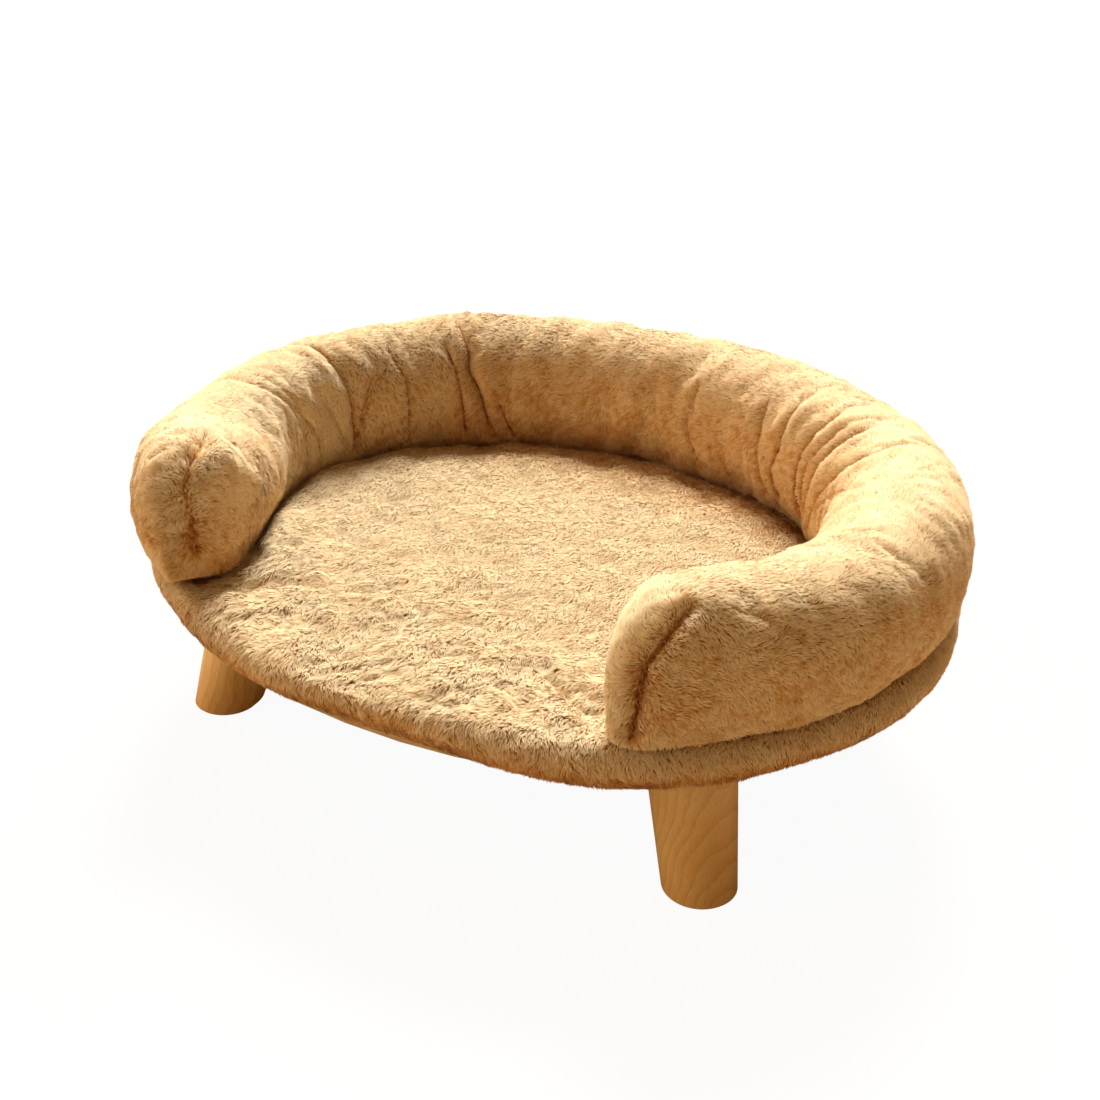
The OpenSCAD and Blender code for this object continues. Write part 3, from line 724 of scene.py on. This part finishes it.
def add(tree, kind, settings=None, stops=(), **inputs):
    """A new node with its settings, its ramp's stops, and its inputs by name or number: plain values, or
    sockets and nodes to link from."""
    node = tree.nodes.new("ShaderNode" + kind)
    for key, value in (settings or {}).items():
        setattr(node, key, value)
    for number, (place, text) in enumerate(stops):
        elements = node.color_ramp.elements
        stop = elements[number] if number < len(elements) else elements.new(place)
        stop.position = place
        stop.color = linear(text)
    for key, value in inputs.items():
        socket = node.inputs[int(key[1:]) if key[1:].isdigit() else key.replace("_", " ")]
        if isinstance(value, bpy.types.Node):
            value = value.outputs[0]
        if isinstance(value, bpy.types.NodeSocket):
            tree.links.new(value, socket)
        else:
            socket.default_value = value
    return node


def make_material(name, build, *look):
    """A material of the surface that build returns."""
    material = bpy.data.materials.new(name)
    material.use_nodes = True
    tree = material.node_tree
    tree.nodes.clear()
    add(tree, "OutputMaterial", Surface=build(tree, *look))
    return material


# Settings of a mix node for colours, and for a colour multiplied by another
MIXED = {"data_type": "RGBA"}
MULTIPLIED = {**MIXED, "blend_type": "MULTIPLY"}


def plush_pile(tree):
    """Brushed long-pile polyester plush: creamy at its tips, orange-brown at its roots, with a soft sheen."""
    place = add(tree, "SeparateXYZ", Vector=add(tree, "UVMap", {"uv_map": "Pile"}))
    tone, along = place.outputs[0], place.outputs[1]
    pale = add(tree, "ValToRGB", stops=[(0.0, "#e8b674"), (0.5, "#fbe4b6"), (1.0, "#fff6dc")], Fac=along)
    deep = add(tree, "ValToRGB", stops=[(0.0, "#b87830"), (0.5, "#dfa255"), (1.0, "#efc486")], Fac=along)
    # Tone mixes a deep and a pale copy: partly at random, partly painted light on tops and painted shade on
    # sides
    mixed = add(tree, "Mix", MIXED, i0=tone, i6=deep, i7=pale)
    # Low tone darkens the pile further: painted shade in creases and seams, beside the bolster and on the rim
    painted_shade = add(tree, "ValToRGB", stops=[(0.02, "#97602c"), (0.25, "#eccda4"), (0.45, "#ffffff")], Fac=tone)
    colour = add(tree, "Mix", MULTIPLIED, i0=1.0, i6=mixed.outputs[2], i7=painted_shade)
    return add(tree, "BsdfPrincipled", Base_Color=colour.outputs[2], Roughness=0.88, Specular_IOR_Level=0.2,
               Sheen_Weight=0.5, Sheen_Roughness=0.5, Sheen_Tint=linear("#ffe9c4"))


def plush_hide(tree):
    """The plush's knitted polyester backing between its fibres: darker and warmer than the tips, and matt,
    with loops of about 2 mm."""
    spot = add(tree, "TexCoord").outputs["Object"]
    loops = add(tree, "TexNoise", Vector=spot, Scale=pattern(2.381), Detail=3.0, Roughness=0.6)
    colour = add(tree, "ValToRGB", stops=[(0.3, "#bd8548"), (0.7, "#d6a466")], Fac=loops)
    bump = add(tree, "Bump", Height=loops, Strength=0.5, Distance=0.001)
    return add(tree, "BsdfPrincipled", Base_Color=colour, Roughness=0.95, Specular_IOR_Level=0.1, Normal=bump)


def varnished_wood(tree):
    """Turned rubberwood under satin varnish: honey-coloured, with soft arches of its year rings 7.5 mm apart
    and fine pores 1 mm wide, drawn out along the grain."""
    spot = add(tree, "TexCoord").outputs["Object"]
    tilted = add(tree, "Mapping", Vector=spot, Rotation=(0.16, -0.22, 0.0), Location=(0.02, 0.11, 0.0))
    warp = add(tree, "TexNoise", Vector=tilted, Scale=pattern(62.5), Detail=2.0)
    bent = add(tree, "VectorMath", {"operation": "MULTIPLY_ADD"}, i0=warp.outputs["Color"],
               i1=(0.02, 0.02, 0.0), i2=tilted)
    rings = add(tree, "TexWave", {"wave_type": "RINGS", "rings_direction": "Z", "wave_profile": "SAW"},
                Vector=bent, Scale=pattern(7.48, WAVE_PERIOD), Distortion=1.2, Detail=2.0, Detail_Scale=1.5)
    honey = add(tree, "ValToRGB", stops=[(0.0, "#ffd692"), (0.6, "#fdcd82"), (1.0, "#f4c072")],
                Fac=rings.outputs["Fac"])
    stretched = add(tree, "Mapping", Vector=spot, Scale=(1.0, 1.0, 0.04))
    pores = add(tree, "TexNoise", Vector=stretched, Scale=pattern(1.111), Detail=2.0)
    pore = add(tree, "ValToRGB", stops=[(0.36, "#b98a55"), (0.52, "#ffffff")], Fac=pores)
    grained = add(tree, "Mix", MULTIPLIED, i0=0.16, i6=honey, i7=pore)
    broad = add(tree, "TexNoise", Vector=spot, Scale=pattern(45.45), Detail=1.0)
    stain = add(tree, "ValToRGB", stops=[(0.35, "#f2dcb8"), (0.65, "#ffffff")], Fac=broad)
    both = add(tree, "Mix", MULTIPLIED, i0=0.5, i6=grained.outputs[2], i7=stain)
    bump = add(tree, "Bump", Height=pores, Strength=0.08, Distance=0.0004)
    return add(tree, "BsdfPrincipled", Base_Color=both.outputs[2], Roughness=0.42, Specular_IOR_Level=0.45,
               Coat_Weight=0.15, Coat_Roughness=0.3, Normal=bump)


def mottled(tree, dark, light, grain, rough, metal=0.0):
    """A surface mottled between two colours by a grain of this many millimetres, which also raises it."""
    spot = add(tree, "TexCoord").outputs["Object"]
    noise = add(tree, "TexNoise", Vector=spot, Scale=pattern(grain), Detail=3.0)
    colour = add(tree, "ValToRGB", stops=[(0.3, dark), (0.7, light)], Fac=noise)
    raised = add(tree, "Bump", Height=noise, Strength=0.3, Distance=0.0005)
    return add(tree, "BsdfPrincipled", Base_Color=colour, Roughness=rough, Metallic=metal, Normal=raised)


def dress(piece, material):
    piece.data.materials.clear()
    piece.data.materials.append(material)


# The stuffing's swell, as simulated cloth
CLOTH_FRAMES = 20
CLOTH_PRESSURE = 60.0
CLOTH_SLACK_SHARE = 0.008
# The simulated copy takes every so many rows and sides of the skin
CLOTH_EVERY = (3, 2)
MOST_SWELL = 4.0
SWELL_ROOM = 1.0
# The bolster is held along its foot, past these turns, and along its creases and seams
HELD_BELOW, HELD_ABOVE = -34, 214
HELD_STRENGTH = 1.5


def fill_in(values, places, count):
    """Values known at some rows of a grid, as ones for every row."""
    row = np.arange(count)
    i = np.clip(np.searchsorted(places, row, "right") - 1, 0, len(places) - 2)
    share = ((row - places[i]) / (places[i + 1] - places[i]))[:, None, None]
    return values[i] * (1 - share) + values[i + 1] * share


def swell_cloth(points, ends, held):
    """How Blender's cloth moves a closed skin when its stuffing presses from inside: held points stay,
    and none moves further than the room that the stuffing has. A coarser copy is simulated."""
    rows = np.unique(np.r_[np.arange(0, points.shape[0], CLOTH_EVERY[0]), points.shape[0] - 1])
    sides = np.arange(0, points.shape[1], CLOTH_EVERY[1])
    skin = Skin(points[rows][:, sides], *ends, flip=True)
    piece = make_mesh("cloth_trial", skin.points, skin.faces)
    group = piece.vertex_groups.new(name="held")
    for i, weight in enumerate(skin.spread(held[rows][:, sides])):
        group.add([i], float(weight), "REPLACE")
    cloth = piece.modifiers.new("Cloth", "CLOTH")
    cloth.settings.vertex_group_mass = "held"
    cloth.settings.use_pressure = True
    cloth.settings.uniform_pressure_force = CLOTH_PRESSURE
    cloth.settings.shrink_min = -CLOTH_SLACK_SHARE
    cloth.settings.effector_weights.gravity = 0
    cloth.point_cache.frame_start, cloth.point_cache.frame_end = 1, CLOTH_FRAMES
    scene = bpy.context.scene
    for frame_number in range(1, CLOTH_FRAMES + 1):
        scene.frame_set(frame_number)
    blown = piece.evaluated_get(bpy.context.evaluated_depsgraph_get()).to_mesh()
    places = np.empty(3 * len(skin.points), np.float32)
    blown.vertices.foreach_get("co", places)
    scene.frame_set(1)
    trial = piece.data
    bpy.data.objects.remove(piece)
    bpy.data.meshes.remove(trial)
    move = (places.reshape(-1, 3) / MM - skin.points)[:-2].reshape(len(rows), len(sides), 3)
    far = np.linalg.norm(move, axis=-1, keepdims=True)
    move *= np.minimum(1, MOST_SWELL / np.maximum(far, 1e-6))
    move = fill_in(move, rows, points.shape[0])
    round_again = np.concatenate([move, move[:, :1]], 1).swapaxes(0, 1)
    return fill_in(round_again, np.r_[sides, points.shape[1]], points.shape[1]).swapaxes(0, 1)


# The plush pieces: how far a skin lies inside its CAD solid's, and how much further the filling's does
HIDE_INSET = 2.8
FILLING_DEEPER = 8.0
HIDE_MATERIAL = make_material("plush_hide", plush_hide)
PILE_MATERIAL = make_material("plush_pile", plush_pile)
# Carded polyester fibre: white, matt and cloudy
FIBRE = make_material("polyester_fibre", mottled, "#dcdcd8", "#f8f8f4", 3.333, 0.95)

# Patches of the bolster whose pile lies otherwise: start, softness, end and softness along the run, then the
# same round the section, in degrees. The nap turns round at the main crease, more slowly on the outer side
OPEN = (999, 1)
ALL = (-999, 1, *OPEN)
PATCHES = {
    "shaded": ((138, 3, 166.5, 2.5), (116, 30, *OPEN)),
    "outer_front": ((-44, 10, 4, 16), (8, 20, 78, 20)),
    # left_inner only paints the left arm's inner side paler, as painted light; left_end also paints its end
    # paler
    "left_inner": ((164, 4, 212, 12), (100, 30, *OPEN)),
    "left_end": ((206, 8, *OPEN), (60, 30, 205, 40)),
    "inner": (ALL, (50, 40, *OPEN)),
    "past_main_crease": ((134, 4, *OPEN), ALL),
    "past_back": ((95, 80, *OPEN), ALL),
    "low_outer": (ALL, (-999, 1, 35, 50)),
    "low_inner": (ALL, (150, 40, *OPEN)),
    "upper": (ALL, (40, 40, *OPEN)),
}
# How far from the tip the right arm's end and its very tip reach, and pile grows under the foot; the end's
# pile is painted paler there as painted light
RIGHT_END, RIGHT_TIP, FOOT_PILE = (60, 40), (18, 8), 25
COMB_STRENGTH = 3.0
# Nap, curl and looks of the bolster's pile: how much each patch adds to them
NAP_ALONG = dict(base=0.85, left=-0.95, left_top=-0.5)
NAP_DOWN = dict(base=0.45, low_outer=0.5, low_inner=0.5, left=0.35)
CURL = dict(shaded=1, left_end=1, outer_front=0.5, by_seam=0.4)
BOLSTER_LOOKS = {
    "curl": dict(curl=1),
    "length": dict(base=5.2, near=-2.34),
    "lift": dict(base=21, near=-5, top=-6, curl=8),
    "width": dict(base=0.62),
    "pull": dict(base=0.4, curl=0.35),
    "swirl": dict(base=24, curl=26),
    # Tone: painted light makes the tops, the arms' ends and the left inner side paler; painted shade darkens
    # grooves
    "tone": dict(base=0.4, top=0.41, right_end=0.32, left_end=0.1, curl=0.1, shaded=0.04, left_inner=0.42,
                 groove=-0.5, parting=-0.12, left_parting=-0.2),
}
# The same for the seat's pile
SEAT_LOOKS = {
    "length": dict(base=4.4, rim=1.6, top_front=1.4),
    "lift": dict(base=9, under=-4, open_front=5),
    "width": dict(base=0.68),
    "pull": dict(base=0.12, front=0.16),
    "swirl": dict(base=20, front=18),
    "curl": dict(base=0),
    # Tone: painted shadow of the bolster on the seat's back and beside it, and painted shade on the rim
    "tone": dict(base=0.84, back=-0.28, beside=-0.3, painted_rim_shade=-0.68),
}
# The seat's nap: which way it lies on top, and how much it sweeps round on the rim
TOP_NAP = np.array([-0.34, -0.94, 0.0])
RIM_SWEEP = 0.25
# How far in under the bolster the seat's pile still grows, and how much further at the arms' tips
COVER_MARGIN, TIP_MARGIN = 9, 7
TIP_COVER = (50, 30)
UNDER_DENSITY = 0.5
# The seat's back and the strip beside the bolster, painted darker as the bolster's painted shadow, in
# millimetres, and the turns of its top and its rim, whose painted shade deepens downwards
BACK, BESIDE, BESIDE_FOOT = (40, 90), (-20, 100), (120, 120)
TOP_TURN, COVERED_TURN, UNDER_TURN = 80, 60, -70
RIM_NAP, RIM_SHADE = (80, 60), (60, 90)


def patch(name, t, turn):
    share = 1.0
    for place, (start, rise, end, fall) in zip((t, turn), PATCHES[name]):
        share = share * past(place, start, rise) * before(place, end, fall)
    return share


def weigh(shares, masks):
    return sum(share * masks[name] for name, share in shares.items())


def bolster_skin(inset, swollen=False, **cuts):
    points, info = bolster_form(inset, **cuts)
    tips = []
    for t in (TIP_T + inset / TIP_SPEED, 180 - TIP_T - inset / TIP_SPEED):
        tips.append(on_run(np.array(t), np.array(inset), np.array(0.0), np.array(0.0), inset))
    if swollen:
        foot = (info["turn"] < HELD_BELOW) | (info["turn"] > HELD_ABOVE)
        held = clamp01(HELD_STRENGTH * info["near"] ** 2 + foot)
        points = points + swell_cloth(points, tips, held)
    return Skin(points, *tips, flip=True), info


def bolster_masks(info):
    """How much each point of the bolster belongs to each patch that its pile depends on."""
    t, turn, from_tip = info["t"], info["turn"], info["from_tip"]
    masks = {name: patch(name, t, turn) for name in PATCHES}
    inner = masks["inner"]
    left = inner * masks["past_main_crease"] + (1 - inner) * masks["past_back"]
    # top paints the tops' pile paler as painted light, and also lowers their lift and turns their nap
    top = np.clip(np.sin(np.radians(turn)), 0, 1) ** 2
    near = info["near"]
    by_seam = clamp01(np.linalg.norm(info["off_seam"], axis=-1))
    right_tip = clamp01(masks["upper"] + before(from_tip, *RIGHT_TIP))
    # The right arm's end is painted paler: painted light
    right_end = (t < 90) * before(from_tip, *RIGHT_END) * right_tip
    # groove paints the pile darker in the creases and seams: painted shade
    masks.update(base=np.ones_like(top), top=top, left=left, left_top=left * top, near=near, groove=near**2,
                 by_seam=by_seam, parting=by_seam**2, left_parting=left * by_seam**2, right_end=right_end)
    masks["curl"] = clamp01(weigh(CURL, masks))
    return masks


def build_bolster():
    skin, info = bolster_skin(HIDE_INSET + SWELL_ROOM, swollen=True)
    hide = make_mesh("bolster_plush", skin.points, skin.faces)
    turn = info["turn"]
    masks = bolster_masks(info)
    along, round_ = unit(np.gradient(skin.grid, axis=0)), unit(np.gradient(skin.grid, axis=1))
    down = -np.cos(np.radians(turn))[..., None] * round_
    # Beside the arms' end seams the pile is combed away from them
    flow = along * weigh(NAP_ALONG, masks)[..., None] + down * weigh(NAP_DOWN, masks)[..., None]
    flow += COMB_STRENGTH * info["off_seam"]
    looks = {name: skin.spread(weigh(shares, masks)) for name, shares in BOLSTER_LOOKS.items()}
    bare = (turn >= FOOT_TURN) & (info["from_tip"] > FOOT_PILE)
    looks["density"] = skin.spread(np.where(bare, 0.0, 1.0))
    return hide, make_pile("bolster_pile", skin, skin.spread(flow), looks, seed=101, clump_size=2.3, parts=8)


def build_stuffing():
    core, _ = bolster_skin(HIDE_INSET + FILLING_DEEPER, cuts=220, around=60, foot=5, ends=26)
    filling = make_mesh("bolster_stuffing", core.points, core.faces)
    dress(filling, FIBRE)
    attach(filling, "root")
    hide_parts("bolster_filling")


def foot_distance(points):
    """How far points of the seat lie outside the bolster's foot, which hides the seat's pile."""
    run = np.linspace(TIP_T, 180 - TIP_T, 500)
    from_tip = tip_distance(run)
    feet = on_run(run, from_tip, 0 * run, 0 * run - SEATED_DROP)[:, :2]
    halves = FOOT_HALF * end_share(from_tip, ARM_TAPER, TAPER_ROUND) - COVER_MARGIN
    halves = halves - TIP_MARGIN * before(from_tip, *TIP_COVER) + np.minimum(0, even_out(STUFFING, run))
    flat = points.reshape(-1, 3)[:, :2]
    gap = np.full(len(flat), np.inf)
    for foot, half in zip(feet, halves):
        gap = np.minimum(gap, np.linalg.norm(flat - foot, axis=1) - half)
    return gap.reshape(points.shape[:-1])


def build_seat():
    points, turn = seat_form(HIDE_INSET)
    top = float(crown_z(SEAT_MIDDLE)) - HIDE_INSET
    skin = Skin(points, [0, -MIDDLE_Y, SEAT_Z + HEM_T], [*SEAT_MIDDLE, top])
    # The hem's pole isn't part of the cover, which is open under the board
    hide = make_mesh("seat_plush", skin.points, skin.faces[: -2 * SEAT_SIDES] + skin.faces[-SEAT_SIDES:])
    climb = unit(np.gradient(points, axis=0))
    round_ = unit(np.roll(points, -1, 1) - np.roll(points, 1, 1))
    side = before(turn, *RIM_NAP)[..., None]
    flow = (1 - side) * TOP_NAP + side * (-climb + RIM_SWEEP * round_)
    gap = foot_distance(points)
    y, front, on_top, under = points[..., 1], front_share(points), turn > TOP_TURN, turn < UNDER_TURN
    # The back and the strip beside the bolster get painted shadow, and the rim painted shade
    masks = dict(
        base=np.ones_like(turn), front=front, top_front=front * on_top, rim=~on_top, under=under,
        open_front=front * ~under, back=past(y, *BACK) * on_top,
        beside=before(gap, *BESIDE_FOOT) * past(y, *BESIDE) * on_top, painted_rim_shade=before(turn, *RIM_SHADE))
    looks = {name: skin.spread(weigh(shares, masks)) for name, shares in SEAT_LOOKS.items()}
    density = np.where((gap < 0) & (turn > COVERED_TURN), 0.0, np.where(under, UNDER_DENSITY, 1.0))
    density[turn == HEM_TURN] = 0.0
    looks["density"] = skin.spread(density)
    return hide, make_pile("seat_pile", skin, skin.spread(flow), looks, seed=202, clump_size=2.6, parts=6)


def ride_plush(hide, piles, node, fill):
    dress(hide, HIDE_MATERIAL)
    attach(hide, "root")
    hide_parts(node)
    for pile in piles:
        dress(pile, PILE_MATERIAL)
        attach(pile, "root")


bolster = build_bolster()
build_stuffing()
seat = build_seat()
ride_plush(*bolster, "bolster_cover", 0.9)
ride_plush(*seat, "seat_cover", 0.6)

# Finishes of the CAD pieces: how the pieces' names start, then the material's name, its dark and light
# colours, its grain in millimetres, its roughness and how metallic it is
FINISHES = (
    # Zinc-plated steel: cool and bright, with a fine crystal mottle
    (("hanger_bolt", "tee_nut", "staples"), "zinc_steel", "#9a9a9c", "#c4c4c6", 1.111, 0.4, 1.0),
    # Pressed wool felt: dark, matt and hairy
    ("foot_glide", "pressed_felt", "#3d3632", "#6a605a", 0.6667, 0.95),
    # Sanded birch plywood: pale and dull, with a broad soft figure
    ("base_board", "birch_plywood", "#b99464", "#d8b888", 16.667, 0.7),
    # Cut polyurethane foam: cream, with open pores
    ("seat_foam", "seat_foam", "#d8cf9c", "#f0e8bc", 1.4286, 0.9),
    # Spun-bonded polypropylene: near black, with a fine fibrous speckle
    ("base_lining", "black_nonwoven", "#151517", "#2a2a2d", 1.4286, 0.85),
    # Plain-woven cotton: undyed, matt and a little slubby
    ("bolster_base_panel", "plain_cotton", "#cfc8b8", "#e8e2d4", 0.8333, 0.9),
)


def dress_nodes(start, material):
    for name, node in frame["nodes"].items():
        if name.startswith(start):
            dress(node, material)


dress_nodes("leg", make_material("varnished_wood", varnished_wood))
dress_nodes(("seat_wadding", "bolster_filling"), FIBRE)
for start, name, *look in FINISHES:
    dress_nodes(start, make_material(name, mottled, *look))

# Floor, light and camera
FLOOR_HALF = 9000
FLOOR_CORNERS = [[-1, -1, 0], [1, -1, 0], [1, 1, 0], [-1, 1, 0]]
# The photograph's camera, found by fitting the bed's outline: its place in metres, the ways that its right
# side, top and back face, and its focal length and picture in pixels
CAMERA_PLACE = (0.6507, -0.9952, 0.7536)
CAMERA_AXES = ((0.83710, 0.54705, 0), (-0.24981, 0.38225, 0.88965), (0.48668, -0.74473, 0.45664))
FOCAL_PIXELS = 1625
PICTURE_PIXELS = 1100
SENSOR_W = 36


def studio_floor(tree):
    """Matt paper that keeps the shadow, and is lit up to white for the camera alone."""
    path = add(tree, "LightPath")
    share = add(tree, "Math", {"operation": "MULTIPLY"}, i0=path.outputs["Is Camera Ray"], i1=0.88)
    matt = add(tree, "BsdfDiffuse", Color=linear("#b8a68a"))
    lit = add(tree, "Emission", Strength=1.08)
    return add(tree, "MixShader", Fac=share, i1=matt, i2=lit)


def add_floor():
    floor = make_mesh("studio_floor", np.array(FLOOR_CORNERS) * FLOOR_HALF, [[0, 1, 2, 3]])
    dress(floor, make_material("studio_floor", studio_floor))


def add_sun(name, way, strength, angle, colour):
    """Even light from one side, as soft as a panel that fills the angle."""
    light = bpy.data.lights.new(name, "SUN")
    light.energy, light.angle, light.color = strength, math.radians(angle), linear(colour)[:3]
    lamp = add_object(name, light)
    lamp.location = way
    lamp.rotation_euler = (-lamp.location).to_track_quat("-Z", "Y").to_euler()


def add_world(strength, colour):
    """Warm light from all round, and plain white behind the bed for the camera."""
    world = bpy.data.worlds.new("studio")
    bpy.context.scene.world = world
    world.use_nodes = True
    tree = world.node_tree
    tree.nodes.clear()
    path = add(tree, "LightPath")
    fill = add(tree, "Background", Color=linear(colour), Strength=strength)
    seen = add(tree, "Background", Color=linear("#ffffff"), Strength=1.0)
    both = add(tree, "MixShader", Fac=path.outputs["Is Camera Ray"], i1=fill, i2=seen)
    add(tree, "OutputWorld", Surface=both)


def add_camera():
    camera = bpy.data.cameras.new("photo_view")
    camera.lens, camera.sensor_width = FOCAL_PIXELS / PICTURE_PIXELS * SENSOR_W, SENSOR_W
    view = add_object("photo_view", camera)
    turn = Matrix(CAMERA_AXES).transposed().to_4x4()
    view.matrix_world = Matrix.Translation(CAMERA_PLACE) @ turn
    bpy.context.scene.camera = view


add_floor()
add_sun("overhead_key", way=(-0.42, 0.84, 1.0), strength=6.8, angle=24, colour="#f9faf3")
add_sun("front_fill", way=(-1.4, -0.75, 0.4), strength=1.5, angle=60, colour="#ffe8c6")
add_world(strength=0.28, colour="#ffcc90")
add_camera()
bpy.context.scene.view_settings.view_transform = "Standard"
